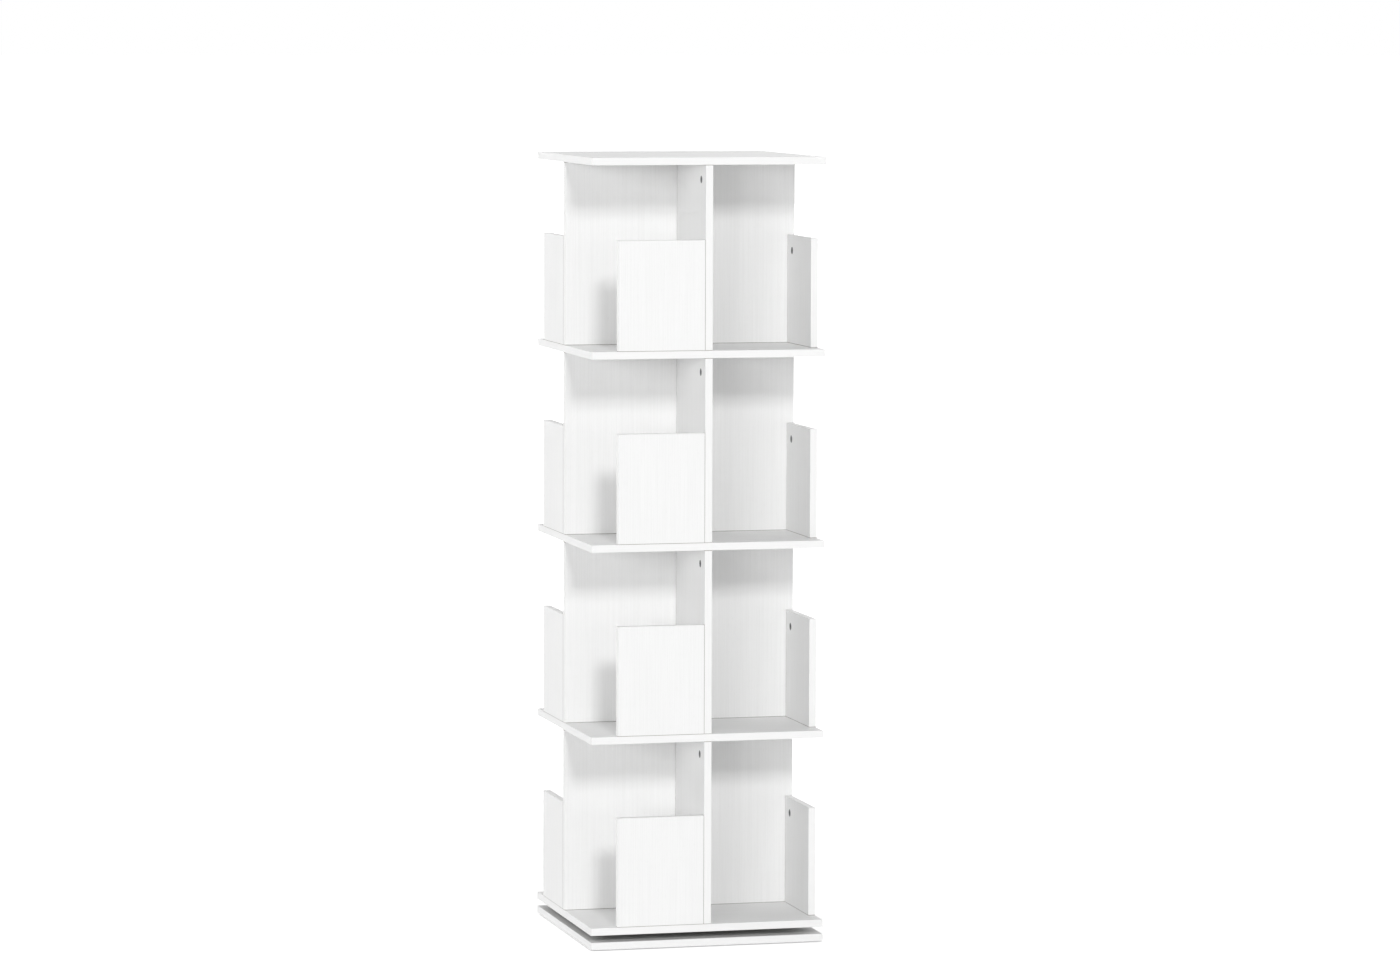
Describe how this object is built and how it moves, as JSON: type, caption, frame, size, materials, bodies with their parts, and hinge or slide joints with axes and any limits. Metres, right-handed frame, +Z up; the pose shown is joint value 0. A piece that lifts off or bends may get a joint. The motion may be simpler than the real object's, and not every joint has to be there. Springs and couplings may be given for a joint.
{
  "type": "revolving bookcase",
  "caption": "Tall square revolving bookcase: crossed dividers, shelves and low book stops in white board, on a ball-bearing turntable and a square base.",
  "frame": {"origin": "on the floor, on the vertical axis that the case turns about", "axes": "+Z up; -Y is the front, the side that shows a book stop left of its divider; +X to the right"},
  "size_m": [0.48, 0.48, 1.582],
  "materials": {
    "white_board": "white melamine-faced particle board with a fine embossed grain and white edge bands, satin",
    "ring_aluminium": "mill finish",
    "zinc": "die-cast zinc, satin",
    "plated_steel": "zinc-plated steel",
    "ball_steel": "polished steel",
    "nylon": "natural nylon",
    "glide_plastic": "moulded, matte",
    "beech": "raw beech"
  },
  "bodies": {
    "base": {"base_panel": "white_board", "base_ring_screws": "plated_steel", "foot_glide_front_left": "glide_plastic", "foot_glide_front_right": "glide_plastic", "foot_glide_rear_left": "glide_plastic", "foot_glide_rear_right": "glide_plastic", "turntable_outer_ring": "ring_aluminium"},
    "ball_cage": {"turntable_ball_cage": "nylon", "turntable_balls": "ball_steel"},
    "carousel": {"bottom_shelf": "white_board", "cams_1": "zinc", "cams_2": "zinc", "cams_3": "zinc", "cams_4": "zinc", "cross_dowels": "beech", "end_cam_bolts": "plated_steel", "end_dowels": "beech", "front_book_stop_1": "white_board", "front_book_stop_2": "white_board", "front_book_stop_3": "white_board", "front_book_stop_4": "white_board", "front_divider_1": "white_board", "front_divider_2": "white_board", "front_divider_3": "white_board", "front_divider_4": "white_board", "left_book_stop_1": "white_board", "left_book_stop_2": "white_board", "left_book_stop_3": "white_board", "left_book_stop_4": "white_board", "long_divider_1": "white_board", "long_divider_2": "white_board", "long_divider_3": "white_board", "long_divider_4": "white_board", "rear_book_stop_1": "white_board", "rear_book_stop_2": "white_board", "rear_book_stop_3": "white_board", "rear_book_stop_4": "white_board", "rear_divider_1": "white_board", "rear_divider_2": "white_board", "rear_divider_3": "white_board", "rear_divider_4": "white_board", "right_book_stop_1": "white_board", "right_book_stop_2": "white_board", "right_book_stop_3": "white_board", "right_book_stop_4": "white_board", "shelf_2": "white_board", "shelf_3": "white_board", "shelf_4": "white_board", "shelf_cam_bolts": "plated_steel", "shelf_dowels": "beech", "shelf_ring_screws": "plated_steel", "stop_cam_bolts": "plated_steel", "stop_dowels": "beech", "top_panel": "white_board", "turntable_inner_ring": "ring_aluminium"}
  },
  "joints": [
    {"name": "carousel_spin", "type": "hinge", "parent": "base", "child": "carousel", "pos_m": [0, 0, 0.024], "axis": [0, 0, 1], "continuous": true},
    {"name": "ball_cage_orbit", "type": "hinge", "parent": "base", "child": "ball_cage", "pos_m": [0, 0, 0.024], "axis": [0, 0, 1], "continuous": true}
  ],
  "couplings": [
    {"joint": "ball_cage_orbit", "follows": "carousel_spin", "ratio": 0.4805}
  ]
}
